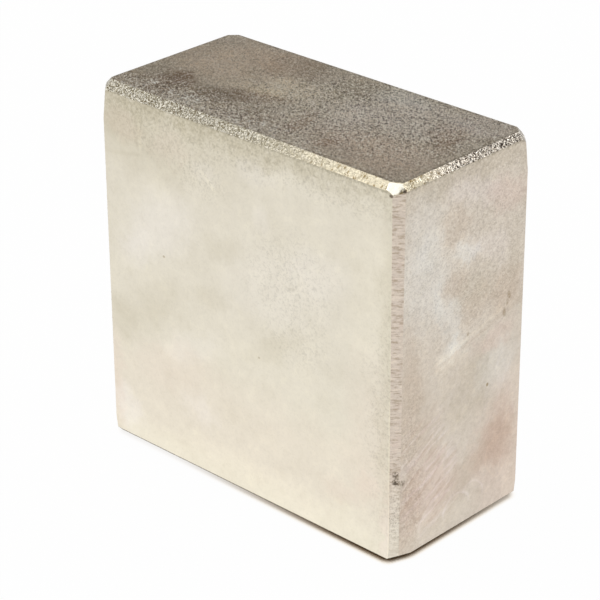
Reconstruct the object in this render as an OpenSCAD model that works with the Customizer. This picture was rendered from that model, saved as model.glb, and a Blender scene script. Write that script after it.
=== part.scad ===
// Block magnet: a sintered block with plated faces, ground edge chamfers and
// worn corners. It stands on its narrow base. The two large faces, at the
// front and the back, are the poles.

/* [Block] */
// Width of the pole faces, left to right
block_w = 50; // [20:0.5:100]
// Thickness from the front pole face to the back one
block_t = 24; // [10:0.5:60]
// Height of the pole faces
block_h = 50; // [20:0.5:100]

/* [Edges] */
// Chamfer leg of the edges that are ground evenly
even_leg = 0.85; // [0.3:0.05:1.5]
// Leg of the front top chamfer at its left end
front_top_left_leg = 1.1; // [0.3:0.05:1.5]
// Leg of the front top chamfer at its right end
front_top_right_leg = 0.75; // [0.3:0.05:1.5]
// Leg of the right top chamfer
right_top_leg = 0.7; // [0.3:0.05:1.5]
// Leg of the front right upright chamfer at its foot
upright_foot_leg = 0.8; // [0.3:0.05:1.5]
// Leg of the front right upright chamfer at its top
upright_top_leg = 1; // [0.3:0.05:1.5]

/* [Corners] */
// Extra depth of the top corners' facets beyond their three chamfers
top_relief = 1.1; // [0.1:0.05:1.5]
// Extra depth of the front left top corner's facet, which is worn less
front_left_relief = 0.7; // [0.1:0.05:1.5]
// Extra depth of the bottom corners' facets beyond their three chamfers
foot_relief = 0.5; // [0.1:0.05:1.5]
// Extra leg of an upright chamfer at its top, where its shoulder is worn
top_shoulder = 0.7; // [0.1:0.05:1.5]
// Extra leg of an upright chamfer at its foot, where its shoulder is worn
foot_shoulder = 0.3; // [0.1:0.05:1.5]
// Length of an upright edge over which a top shoulder dies out
top_run = 5; // [2:0.25:8]
// Length of an upright edge over which a foot shoulder dies out
foot_run = 2.5; // [1:0.25:6]

/* [Front right top corner] */
// How far down the upright edge the leaning facet starts
leaning_depth = 1.55; // [1:0.05:2.5]
// How much the leaning facet looks to the right, against upwards
leaning_right = 0.4; // [0.2:0.05:1]
// How much the leaning facet looks to the front, against upwards
leaning_front = 0.9; // [0.5:0.05:1.2]

/* [Front right foot corner] */
// How far up the upright edge the foot corner's facet starts
foot_facet_rise = 1.6; // [1:0.05:2.5]
// How much the foot corner's facet looks to the right, against downwards
foot_facet_right = 0.65; // [0.2:0.05:1]
// How much the foot corner's facet looks to the front, against downwards
foot_facet_front = 0.25; // [0.1:0.05:1]

/* [Chip] */
// Height of the chip's middle on the front right upright chamfer
chip_height = 12.25; // [8:0.25:16]
// Length of the chip along the edge
chip_length = 1.8; // [1:0.1:4]
// Radius of each bite of the chip
chip_radius = 0.4; // [0.25:0.05:0.5]
// Depth of the chip's deepest bite below the chamfer
chip_depth = 0.2; // [0.05:0.05:0.2]

/* [Hidden] */
$fn = 48;
nickel_colour = [0.82, 0.79, 0.72];
half = [block_w, block_t, block_h] / 2;
// Long enough for a cutter to pass right through the block
reach = block_w + block_t + block_h;
chip_bites = 3;
// Depth of the chip's middle bite, as a share of the deepest
middle_bite = 0.7;
// Extra leg, run and facet depth by end of the upright edges: foot, then top
shoulders = [foot_shoulder, top_shoulder];
runs = [foot_run, top_run];
reliefs = [foot_relief, top_relief];
front_left_top = [-1, -1, 1];
front_right_top = [1, -1, 1];
front_right_foot = [1, -1, -1];

// Legs of the chamfer along X at its left and right ends
function legs_along_x(side_y, side_z) =
    side_y < 0 && side_z > 0 ? [front_top_left_leg, front_top_right_leg] : [even_leg, even_leg];

// Legs of the chamfer along Y at its front and back ends
function legs_along_y(side_x, side_z) =
    side_x > 0 && side_z > 0 ? [right_top_leg, right_top_leg] : [even_leg, even_leg];

// Legs of the upright chamfer at its foot and top
function legs_along_z(side_x, side_y) =
    side_x > 0 && side_y < 0 ? [upright_foot_leg, upright_top_leg] : [even_leg, even_leg];

// Which end of an edge a side is: 0 for the low end and 1 for the high end
function end_at(side) = side < 0 ? 0 : 1;

// Sharp corner of the uncut block
function corner_at(side) = [side.x * half.x, side.y * half.y, side.z * half.z];

// Normal of the plane through three points, facing away from the block's centre
function outward_normal(p, q, r) = let (n = cross(q - p, r - p)) n * p < 0 ? -n : n;

// Everything beyond the plane through a point, on the side that its normal faces
module beyond(point, normal)
    translate(point)
        rotate([0, acos(normal.z / norm(normal)), atan2(normal.y, normal.x)])
            translate([-reach, -reach, 0])
                cube([2 * reach, 2 * reach, reach]);

// Chamfer cut along one edge. The inward directions lie in the two faces that meet there
module edge_cut(low_end, high_end, inward_a, inward_b, legs) {
    a_low = low_end + inward_a * legs[0];
    b_low = low_end + inward_b * legs[0];
    a_high = high_end + inward_a * legs[1];
    beyond(a_low, outward_normal(a_low, b_low, a_high));
}

module edge_cuts()
    for (s = [-1, 1], t = [-1, 1]) {
        edge_cut(corner_at([-1, s, t]), corner_at([1, s, t]), [0, -s, 0], [0, 0, -t],
                 legs_along_x(s, t));
        edge_cut(corner_at([s, -1, t]), corner_at([s, 1, t]), [-s, 0, 0], [0, 0, -t],
                 legs_along_y(s, t));
        edge_cut(corner_at([s, t, -1]), corner_at([s, t, 1]), [-s, 0, 0], [0, -t, 0],
                 legs_along_z(s, t));
    }

// Leg of an upright edge right at a corner, with the shoulder's wear
function shoulder_leg(side) =
    legs_along_z(side.x, side.y)[end_at(side.z)] + shoulders[end_at(side.z)];

// Depth of a corner's facet beyond the point where its three chamfers meet
function relief_at(side) = side == front_left_top ? front_left_relief : reliefs[end_at(side.z)];

// Facet across a corner, deeper than the point where its three chamfers meet
module corner_facet(side) {
    meeting = (legs_along_x(side.y, side.z)[end_at(side.x)]
               + legs_along_y(side.x, side.z)[end_at(side.y)]
               + shoulder_leg(side)) / 2;
    beyond(corner_at(side) - [side.x * (meeting + relief_at(side)), 0, 0], side);
}

// Facet of a front right corner, which leans more one way than the others do
module leaning_facet(side, depth, to_right, to_front)
    beyond(corner_at(side) - [0, 0, side.z * depth], [to_right, -to_front, side.z]);

// Worn shoulder where an upright chamfer widens towards its corner
module worn_shoulder(side)
    beyond(corner_at(side) - [side.x * shoulder_leg(side), 0, 0],
           [side.x, side.y, side.z * shoulders[end_at(side.z)] / runs[end_at(side.z)]]);

// Row of small bites out of the front right upright chamfer
module chip() {
    leg_here = upright_foot_leg + (upright_top_leg - upright_foot_leg) * chip_height / block_h;
    middle = [half.x - leg_here / 2, -half.y + leg_here / 2, chip_height - half.z];
    outwards = [1, -1, 0] / norm([1, -1, 0]);
    spacing = (chip_length - 2 * chip_radius) / (chip_bites - 1);
    for (i = [0 : chip_bites - 1]) {
        bite_depth = chip_depth * (i == 1 ? middle_bite : 1);
        translate(middle + outwards * (chip_radius - bite_depth)
                  + [0, 0, (i - (chip_bites - 1) / 2) * spacing])
            sphere(chip_radius);
    }
}

module magnet_block()
    color(nickel_colour)
        translate([0, 0, half.z])
            difference() {
                cube([block_w, block_t, block_h], center = true);
                edge_cuts();
                for (x = [-1, 1], y = [-1, 1], z = [-1, 1]) {
                    if (!(x > 0 && y < 0)) corner_facet([x, y, z]);
                    if ([x, y, z] != front_right_top) worn_shoulder([x, y, z]);
                }
                leaning_facet(front_right_top, leaning_depth, leaning_right, leaning_front);
                leaning_facet(front_right_foot, foot_facet_rise, foot_facet_right, foot_facet_front);
                chip();
            }

magnet_block();
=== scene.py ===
"""Block magnet: the plated skin of the block, and the stage that it is seen on."""

import math

import bpy
from bpy.props import FloatProperty, FloatVectorProperty, IntProperty, PointerProperty
from mathutils import Matrix, Vector


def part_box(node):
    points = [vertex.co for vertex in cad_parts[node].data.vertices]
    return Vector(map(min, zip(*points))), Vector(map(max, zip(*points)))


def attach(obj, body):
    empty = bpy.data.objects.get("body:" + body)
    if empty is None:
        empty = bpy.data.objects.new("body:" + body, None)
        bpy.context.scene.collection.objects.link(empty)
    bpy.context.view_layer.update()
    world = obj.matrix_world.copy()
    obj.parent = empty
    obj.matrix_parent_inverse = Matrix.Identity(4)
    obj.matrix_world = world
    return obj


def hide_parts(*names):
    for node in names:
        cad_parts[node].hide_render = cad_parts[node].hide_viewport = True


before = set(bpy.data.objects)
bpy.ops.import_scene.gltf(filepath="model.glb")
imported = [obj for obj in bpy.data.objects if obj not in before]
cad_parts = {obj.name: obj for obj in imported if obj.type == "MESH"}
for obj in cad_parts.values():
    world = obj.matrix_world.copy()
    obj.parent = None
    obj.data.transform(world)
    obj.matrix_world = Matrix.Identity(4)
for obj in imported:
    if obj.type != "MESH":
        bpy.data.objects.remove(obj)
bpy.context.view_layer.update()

bl_info = {
    "name": "Block Magnet",
    "version": (1, 0, 0),
    "blender": (4, 5, 0),
    "location": "View3D > Sidebar > Magnet",
    "description": "Models a plated block magnet and a plain studio stage",
    "category": "Object",
}

MM = 0.001
AXES = (0, 1, 2)
BLOCK_NODE = "magnet_block"
BLOCK_BODY = "root"
BLOCK_LOW, BLOCK_HIGH = (Vector(corner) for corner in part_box(BLOCK_NODE))
BLOCK_SIZE = BLOCK_HIGH - BLOCK_LOW
FRONT_LEFT_TOP = (-1, -1, 1)
FRONT_RIGHT_TOP = (1, -1, 1)
FRONT_RIGHT_FOOT = (1, -1, -1)
WHITE = (1, 1, 1, 1)


def length(name, description, default):
    return FloatProperty(name=name, description=description, default=default,
                         unit="LENGTH", precision=5)


def colour(name, description, default, most=1.0):
    return FloatVectorProperty(name=name, description=description, size=3, default=default,
                               subtype="COLOR", min=0, max=most)


def share(name, description, default):
    return FloatProperty(name=name, description=description, default=default,
                         subtype="FACTOR", min=0, max=1)


class BlockSizes(bpy.types.PropertyGroup):
    """Sizes of the block, its ground edges and its wear"""

    extent: FloatVectorProperty(
        name="Extent", description="Width, thickness and height of the block",
        size=3, default=tuple(BLOCK_SIZE), unit="LENGTH", subtype="XYZ")
    even_leg: length("Even leg", "Chamfer leg of the edges that are ground evenly", 0.85 * MM)
    front_top_left_leg: length(
        "Front top, left", "Leg of the front top chamfer at its left end", 1.1 * MM)
    front_top_right_leg: length(
        "Front top, right", "Leg of the front top chamfer at its right end", 0.75 * MM)
    right_top_leg: length("Right top", "Leg of the right top chamfer", 0.7 * MM)
    upright_foot_leg: length(
        "Upright, foot", "Leg of the front right upright chamfer at its foot", 0.8 * MM)
    upright_top_leg: length(
        "Upright, top", "Leg of the front right upright chamfer at its top", 1.0 * MM)
    reliefs: FloatVectorProperty(
        name="Corner reliefs", description="Extra depth of the corner facets, foot and top",
        size=2, default=(0.5 * MM, 1.1 * MM), unit="LENGTH", precision=5)
    front_left_relief: length(
        "Front left relief", "Extra depth of the front left top corner's facet", 0.7 * MM)
    leaning_depth: length(
        "Leaning depth", "How far down the upright edge the leaning facet starts", 1.55 * MM)
    leaning_way: FloatVectorProperty(
        name="Leaning way", description="Way that the front right top corner's facet faces",
        size=3, default=(0.4, -0.9, 1.0), subtype="XYZ")
    foot_facet_rise: length(
        "Foot facet rise", "How far up the upright edge the foot corner's facet starts", 1.6 * MM)
    foot_facet_way: FloatVectorProperty(
        name="Foot facet way", description="Way that the front right foot corner's facet faces",
        size=3, default=(0.65, -0.25, -1.0), subtype="XYZ")
    shoulders: FloatVectorProperty(
        name="Shoulders", description="Extra leg of the upright chamfers, foot and top",
        size=2, default=(0.3 * MM, 0.7 * MM), unit="LENGTH", precision=5)
    shoulder_runs: FloatVectorProperty(
        name="Shoulder runs", description="Length over which a worn shoulder dies out, foot and top",
        size=2, default=(2.5 * MM, 5.0 * MM), unit="LENGTH", precision=5)
    chip_height: length("Chip height", "Height of the chip's middle on its edge", 12.25 * MM)
    chip_length: length("Chip length", "Length of the chip along the edge", 1.8 * MM)
    chip_radius: length("Chip radius", "Radius of each bite of the chip", 0.4 * MM)
    chip_depth: length("Chip depth", "Depth of the chip's deepest bite", 0.2 * MM)
    notch_radius: length("Notch radius", "Radius of the notches in the front top chamfer", 0.28 * MM)
    notch_depth: length("Notch depth", "Depth of the notches in the front top chamfer", 0.1 * MM)
    border_round: length(
        "Border rounding", "Width of the softened border of every chamfer", 0.06 * MM)
    face_step: length("Face step", "Spacing of the mesh over the flat faces", 0.9 * MM)
    edge_cuts: IntProperty(
        name="Edge cuts", description="Cuts in each mesh step along a chamfer",
        default=6, min=0, max=12)
    grain_size: length("Grain size", "Size of the coarse grain on the ground edges", 0.17 * MM)
    grain_depth: length("Grain depth", "Depth of the coarse grain on the ground edges", 0.06 * MM)
    wave_size: length("Wave size", "Size of the slight waves of the flat faces", 7 * MM)
    wave_depth: length("Wave depth", "Depth of the slight waves of the flat faces", 0.012 * MM)


class PlatingLook(bpy.types.PropertyGroup):
    """Colours and gloss of the plating"""

    pole_nickel: colour("Pole faces", "Colour of the two large faces", (0.815, 0.760, 0.640))
    # The sides, and the top and base, are darker copies of the pole faces' plating: painted shade for
    # the dimmer surroundings that they mirror.
    shaded_side_nickel: colour("Sides", "Colour of the left and right faces", (0.675, 0.598, 0.508))
    shaded_end_nickel: colour("Top and base", "Colour of the top and the base", (0.610, 0.520, 0.395))
    edge_nickel: colour("Ground edges", "Colour of the ground edges near the polished corner",
                        (0.78, 0.712, 0.56))
    edge_behind: colour("Right top edge", "Colour of the right top edge's grains",
                        (0.92, 0.80, 0.66))
    edge_dull: colour("Dull edges", "Colour of the coarser ground edges", (0.76, 0.715, 0.58))
    upright_nickel: colour("Upright edges", "Colour of the upright edges", (0.70, 0.605, 0.515))
    haze: colour("Haze tint", "Tint of the pale bluish haze", (1.09, 1.10, 1.17), 2.0)
    frost: colour("Frost tint", "Tint of the pale frosty bloom on the sides", (1.10, 1.17, 1.25),
                  2.0)
    cream: colour("Cream tint", "Tint of the brightest areas", (1.12, 1.12, 1.10), 2.0)
    olive: colour("Olive tint", "Tint of the dull olive areas", (0.895, 0.885, 0.85), 2.0)
    rose: colour("Rose tint", "Tint of the faint pink bloom", (1.02, 0.96, 0.965), 2.0)
    tan: colour("Tan tint", "Tint of the brown, handled patches", (0.90, 0.85, 0.81), 2.0)
    # Darkens the faces' borders, and as painted shade the gaps between grains.
    gap: colour("Border tint", "Tint of the worn borders and of the gaps between grains",
                (0.50, 0.48, 0.41), 2.0)
    # Painted glints: near white colour of the bright flecks on the top and of the sparks on the front
    # top edge.
    fleck_glint: colour("Flecks", "Colour of the bright flecks on the top", (0.99, 0.96, 0.89))
    # Painted glints: near white colour of the bright grains at the rear of the right top edge.
    spark_glint: colour("Sparks", "Colour of the bright grains at the rear of the right top edge",
                  (1.0, 0.94, 0.84))
    corner_nickel: colour("Worn corner", "Colour of the polished corner", (0.98, 0.955, 0.84))
    chip_metal: colour("Chip", "Colour inside the chip and the notches", (0.21, 0.165, 0.12))
    # Painted shade: near black colour of the deep gaps between coarse grains.
    deep_gap_shade: colour("Grime", "Colour of the deep gaps between coarse grains", (0.07, 0.055, 0.045))
    dusk: colour("Dusk tint", "Tint of the dark, dirty patches", (0.81, 0.76, 0.71), 2.0)
    stain: colour("Stain tint", "Tint of small rust-brown stains", (0.50, 0.42, 0.28), 2.0)
    face_roughness: share("Face roughness", "Roughness of the satin faces", 0.33)
    end_roughness: share("End roughness", "Roughness of the top and the base", 0.36)
    edge_roughness: share("Edge roughness", "Roughness of the ground edges", 0.3)


class StageLook(bpy.types.PropertyGroup):
    """Floor, lamps and camera"""

    floor_radius: length("Floor radius", "Radius of the level floor", 0.8)
    rim_radius: length("Rim radius", "Radius of the curve at the floor's rim", 0.2)
    floor_colour: colour("Floor", "Colour of the floor", (0.95, 0.95, 0.945))
    room_colour: colour("Room", "Colour of the dim room above the floor", (0.25, 0.245, 0.24))
    # Painted contact shadow: brown colour of the floor right under the block's edges.
    contact_shadow_colour: colour("Contact", "Colour of the floor right under the block's edges",
                           (0.45, 0.27, 0.12))
    glow_near: colour("Penumbra", "Colour of the lit floor right beside the block",
                      (0.97, 0.87, 0.72))
    camera_azimuth: FloatProperty(
        name="Camera azimuth", description="Direction of the camera, from the front to the right",
        default=math.radians(43.54), subtype="ANGLE")
    camera_elevation: FloatProperty(
        name="Camera elevation", description="Angle of the camera above the horizon",
        default=math.radians(26.41), subtype="ANGLE")
    camera_roll: FloatProperty(
        name="Camera roll", description="Turn of the camera about its own axis",
        default=math.radians(-0.28), subtype="ANGLE")
    camera_distance: length("Camera distance", "Distance from the block's middle, along its axis",
                            0.3027)
    camera_offset: FloatVectorProperty(
        name="Camera offset", description="Sideways and upward offset of the camera",
        size=2, default=(-1.31 * MM, -1.46 * MM), unit="LENGTH", precision=5)
    camera_reach: FloatProperty(
        name="Camera reach", description="Focal length, as a multiple of the picture's width",
        default=2409 / 600)


def deselect_all():
    if bpy.context.object and bpy.context.object.mode != "OBJECT":
        bpy.ops.object.mode_set(mode="OBJECT")
    bpy.ops.object.select_all(action="DESELECT")


def towards(azimuth, elevation):
    """Unit vector from the block to a place at an azimuth, from the front to the right."""
    return Vector((math.sin(azimuth) * math.cos(elevation),
                   -math.cos(azimuth) * math.cos(elevation), math.sin(elevation)))


# Nodes

class Wiring:
    """Adds nodes to a material or a group, and joins them up."""

    def __init__(self, tree):
        self.tree = tree

    def feed(self, socket, value):
        if isinstance(value, bpy.types.NodeSocket):
            self.tree.links.new(value, socket)
        else:
            socket.default_value = value

    def node(self, kind, inputs=None, **settings):
        node = self.tree.nodes.new(kind)
        for name, value in settings.items():
            setattr(node, name, value)
        for name, value in (inputs or {}).items():
            self.feed(node.inputs[name], value)
        return node

    def math(self, operation, *values):
        return self.node("ShaderNodeMath", dict(enumerate(values)), operation=operation).outputs[0]

    def vector(self, operation, *values):
        node = self.node("ShaderNodeVectorMath", operation=operation)
        for i, value in enumerate(values):
            self.feed(node.inputs["Scale" if operation == "SCALE" and i == 1 else i], value)
        plain = operation in {"DOT_PRODUCT", "LENGTH", "DISTANCE"}
        return node.outputs["Value" if plain else "Vector"]

    def ramp(self, value, low, high, to_low=0.0, to_high=1.0, smooth=True):
        return self.node(
            "ShaderNodeMapRange",
            {"Value": value, "From Min": low, "From Max": high, "To Min": to_low,
             "To Max": to_high},
            interpolation_type="SMOOTHSTEP" if smooth else "LINEAR").outputs[0]

    def mix(self, factor, first, second, blend="MIX"):
        return self.node("ShaderNodeMix", {0: factor, 6: first, 7: second},
                         data_type="RGBA", blend_type=blend).outputs[2]

    def noise(self, position, scale, detail=2.0, roughness=0.5, distortion=0.0):
        return self.node("ShaderNodeTexNoise",
                         {"Vector": position, "Scale": scale, "Detail": detail,
                          "Roughness": roughness, "Distortion": distortion})

    def turn(self, place, angle):
        """A place on a face, turned back by an angle."""
        return self.node("ShaderNodeVectorRotate",
                         {"Vector": place, "Angle": self.math("MULTIPLY", angle, -1)},
                         rotation_type="Z_AXIS").outputs[0]

    def group(self, tree, **inputs):
        """Places a node group. Its inputs are named in small letters."""
        node = self.node("ShaderNodeGroup", node_tree=tree)
        for name, value in inputs.items():
            self.feed(node.inputs[name.capitalize()], value)
        return node.outputs


SOCKETS = {"value": "NodeSocketFloat", "vector": "NodeSocketVector", "colour": "NodeSocketColor"}


def start_group(name, inputs, outputs):
    """Makes an empty node group. Returns it with its wiring, its inputs and its output sockets."""
    tree = bpy.data.node_groups.new(name, "ShaderNodeTree")
    for names, way in ((inputs, "INPUT"), (outputs, "OUTPUT")):
        for socket_name, kind in names.items():
            tree.interface.new_socket(socket_name, in_out=way, socket_type=SOCKETS[kind])
    wiring = Wiring(tree)
    given = wiring.node("NodeGroupInput").outputs
    return tree, wiring, given, wiring.node("NodeGroupOutput").inputs


def make_face_place():
    """Place on one face in millimetres, plain and slightly warped, from object coordinates."""
    tree, w, given, out = start_group(
        "Face Place", {"Object": "vector", "Across": "vector", "Up": "vector", "Warp": "value"},
        {"Position": "vector", "Place": "vector", "Wobbly": "vector", "Warped": "vector"})
    position = w.vector("SCALE", given["Object"], 1000)
    place = w.node("ShaderNodeCombineXYZ", {
        "X": w.vector("DOT_PRODUCT", position, given["Across"]),
        "Y": w.vector("DOT_PRODUCT", position, given["Up"])}).outputs[0]
    coarse = w.noise(position, 0.22, 3.0, 0.6).outputs["Color"]
    fine = w.noise(position, 0.9, 3.0, 0.65).outputs["Color"]
    both = w.vector("ADD", w.vector("SUBTRACT", coarse, (0.5, 0.5, 0.5)),
                    w.vector("SCALE", w.vector("SUBTRACT", fine, (0.5, 0.5, 0.5)), 0.5))
    shift = w.vector("SCALE", both, given["Warp"])
    w.feed(out["Position"], position)
    w.feed(out["Place"], place)
    w.feed(out["Wobbly"], w.vector("ADD", place, w.vector("MULTIPLY", shift, (0.12, 0.12, 0))))
    w.feed(out["Warped"], w.vector("ADD", place, w.vector("MULTIPLY", shift, (1, 1, 0))))
    return tree


def make_tint_patch():
    """A soft oval patch of tint at a place on a face."""
    tree, w, given, out = start_group(
        "Tint Patch",
        {"Colour": "colour", "Tint": "colour", "Place": "vector", "Centre": "vector",
         "Radii": "vector", "Turn": "value", "Softness": "value", "Strength": "value"},
        {"Colour": "colour", "Mask": "value"})
    turned = w.turn(w.vector("SUBTRACT", given["Place"], given["Centre"]), given["Turn"])
    spread = w.vector("LENGTH", w.vector("DIVIDE", turned, given["Radii"]))
    mask = w.ramp(spread, w.math("ADD", 1, given["Softness"]),
                  w.math("SUBTRACT", 1, given["Softness"]))
    amount = w.math("MULTIPLY", mask, given["Strength"])
    tinted = w.mix(1.0, given["Colour"], given["Tint"], "MULTIPLY")
    blend = w.node("ShaderNodeMix", {0: amount, 6: given["Colour"], 7: tinted}, data_type="RGBA",
                   clamp_factor=False)
    w.feed(out["Colour"], blend.outputs[2])
    w.feed(out["Mask"], amount)
    return tree


def make_ring():
    """Part of a thin oval ring, as a scuff leaves."""
    tree, w, given, out = start_group(
        "Scuff Ring",
        {"Colour": "colour", "Tint": "colour", "Place": "vector", "Centre": "vector",
         "Radii": "vector", "Turn": "value", "Width": "value", "Strength": "value"},
        {"Colour": "colour"})
    turned = w.turn(w.vector("SUBTRACT", given["Place"], given["Centre"]), given["Turn"])
    scaled = w.vector("DIVIDE", turned, given["Radii"])
    off = w.math("ABSOLUTE", w.math("SUBTRACT", w.vector("LENGTH", scaled), 1))
    ring = w.ramp(off, given["Width"], 0.0)
    height = w.node("ShaderNodeSeparateXYZ", {0: scaled}).outputs["Y"]
    part = w.math("MULTIPLY", w.ramp(height, -0.5, 0.3), given["Strength"])
    tinted = w.mix(1.0, given["Colour"], given["Tint"], "MULTIPLY")
    w.feed(out["Colour"], w.mix(w.math("MULTIPLY", ring, part), given["Colour"], tinted))
    return tree


def make_mottle():
    """Cloudy tint from a coarse noise, as thin plating has."""
    tree, w, given, out = start_group(
        "Plating Mottle",
        {"Colour": "colour", "Light": "colour", "Dark": "colour", "Position": "vector",
         "Size": "value", "Strength": "value"},
        {"Colour": "colour"})
    cloud = w.noise(given["Position"], w.math("DIVIDE", 1, given["Size"]), 4.0, 0.55)
    light = w.math("MULTIPLY", w.ramp(cloud.outputs["Fac"], 0.5, 0.72), given["Strength"])
    dark = w.math("MULTIPLY", w.ramp(cloud.outputs["Fac"], 0.5, 0.28), given["Strength"])
    lit = w.mix(1.0, given["Colour"], given["Light"], "MULTIPLY")
    dulled = w.mix(1.0, given["Colour"], given["Dark"], "MULTIPLY")
    w.feed(out["Colour"], w.mix(dark, w.mix(light, given["Colour"], lit), dulled))
    return tree


def make_border():
    """How near a place is to its face's border: 1 at the border, 0 one ragged width inwards."""
    tree, w, given, out = start_group(
        "Face Border", {"Place": "vector", "Middle": "vector", "Half": "vector", "Width": "value",
                        "Position": "vector"}, {"Mask": "value"})
    away = w.vector("ABSOLUTE", w.vector("SUBTRACT", given["Place"], given["Middle"]))
    gap = w.node("ShaderNodeSeparateXYZ", {0: w.vector("SUBTRACT", given["Half"], away)}).outputs
    ragged = w.noise(given["Position"], w.math("DIVIDE", 0.9, given["Width"]), 3.0, 0.6)
    shift = w.math("MULTIPLY", w.ramp(ragged.outputs["Fac"], 0.3, 0.7, -0.7, 0.7, smooth=False),
                   given["Width"])
    w.feed(out["Mask"], w.ramp(w.math("ADD", w.math("MINIMUM", gap["X"], gap["Y"]), shift),
                               given["Width"], 0.0))
    return tree


# Colours of the grain's pale and dark spots, painted glints and painted shade, and the share of the
# dark one that shows
GRAIN_PALE = (0.92, 0.87, 0.77, 1)
GRAIN_DARK = (0.05, 0.035, 0.02, 1)
GRAIN_DARK_SHARE = 0.64
# The grain's two noises: density against its size, and share of the swing
GRAIN_NOISES = ((1, 0.65), (1.9, 0.6))


def make_deep_specks():
    """Dark specks in the chip, in the notches and beside the polished corner."""
    tree, w, given, out = start_group("Deep Specks", {"Position": "vector"}, {"Mask": "value"})
    mask = 0.0
    for centre, radii in DEEP_SPECKS:
        spread = w.vector("LENGTH", w.vector(
            "DIVIDE", w.vector("SUBTRACT", given["Position"], centre), radii))
        mask = w.math("MAXIMUM", mask, w.ramp(spread, 1.15, 0.55))
    broken = w.noise(given["Position"], 5.5, 1.0, 0.6, 0.8).outputs["Fac"]
    height_up = w.node("ShaderNodeSeparateXYZ", {0: given["Position"]}).outputs["Z"]
    solid = w.math("MAXIMUM", w.ramp(broken, 0.46, 0.54), w.ramp(height_up, 20, 30))
    w.feed(out["Mask"], w.math("MULTIPLY", mask, solid))
    return tree


def make_grain():
    """Salt and pepper grain of a ground and plated surface: its height is real bump, its pale and dark
    spots in colour are painted glints and painted shade. Its height is in millimetres.
    """
    tree, w, given, out = start_group(
        "Metal Grain",
        {"Colour": "colour", "Position": "vector", "Drawn": "vector", "Size": "value",
         "Contrast": "value", "Depth": "value"},
        {"Colour": "colour", "Height": "value", "Grain": "value"})
    drawn = w.vector("MULTIPLY", given["Position"], given["Drawn"])
    coarse, fine = (
        w.ramp(w.noise(drawn, w.math("DIVIDE", density, given["Size"]), 1.0, 0.5, 0.8).outputs["Fac"],
               0.3, 0.7, -share_of, share_of, smooth=False)
        for density, share_of in GRAIN_NOISES)
    swing = w.math("ADD", coarse, fine)
    dark = w.math("MULTIPLY", w.ramp(swing, 0.0, -1.0, smooth=False), given["Contrast"])
    pale = w.math("MULTIPLY", w.ramp(swing, 0.0, 1.0, smooth=False), given["Contrast"])
    lit = w.mix(pale, given["Colour"], GRAIN_PALE)
    w.feed(out["Colour"], w.mix(w.math("MULTIPLY", dark, GRAIN_DARK_SHARE), lit, GRAIN_DARK))
    w.feed(out["Height"], w.math("MULTIPLY", swing, given["Depth"]))
    w.feed(out["Grain"], swing)
    return tree


def make_streaks():
    """Faint scuffs drawn out in one direction over a face."""
    tree, w, given, out = start_group(
        "Scuff Streaks",
        {"Colour": "colour", "Tint": "colour", "Place": "vector", "Turn": "value",
         "Width": "value", "Run": "value", "Cover": "value", "Strength": "value"},
        {"Colour": "colour"})
    span = w.node("ShaderNodeCombineXYZ",
                  {"X": given["Run"], "Y": given["Width"], "Z": 1.0}).outputs[0]
    lines = w.noise(w.vector("DIVIDE", w.turn(given["Place"], given["Turn"]), span),
                    1.0, 2.0, 0.6).outputs["Fac"]
    edge = w.math("SUBTRACT", 0.9, given["Cover"])
    mask = w.math("MULTIPLY", w.ramp(lines, edge, w.math("ADD", edge, 0.14)), given["Strength"])
    tinted = w.mix(1.0, given["Colour"], given["Tint"], "MULTIPLY")
    w.feed(out["Colour"], w.mix(mask, given["Colour"], tinted))
    return tree


# Finishes

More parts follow.
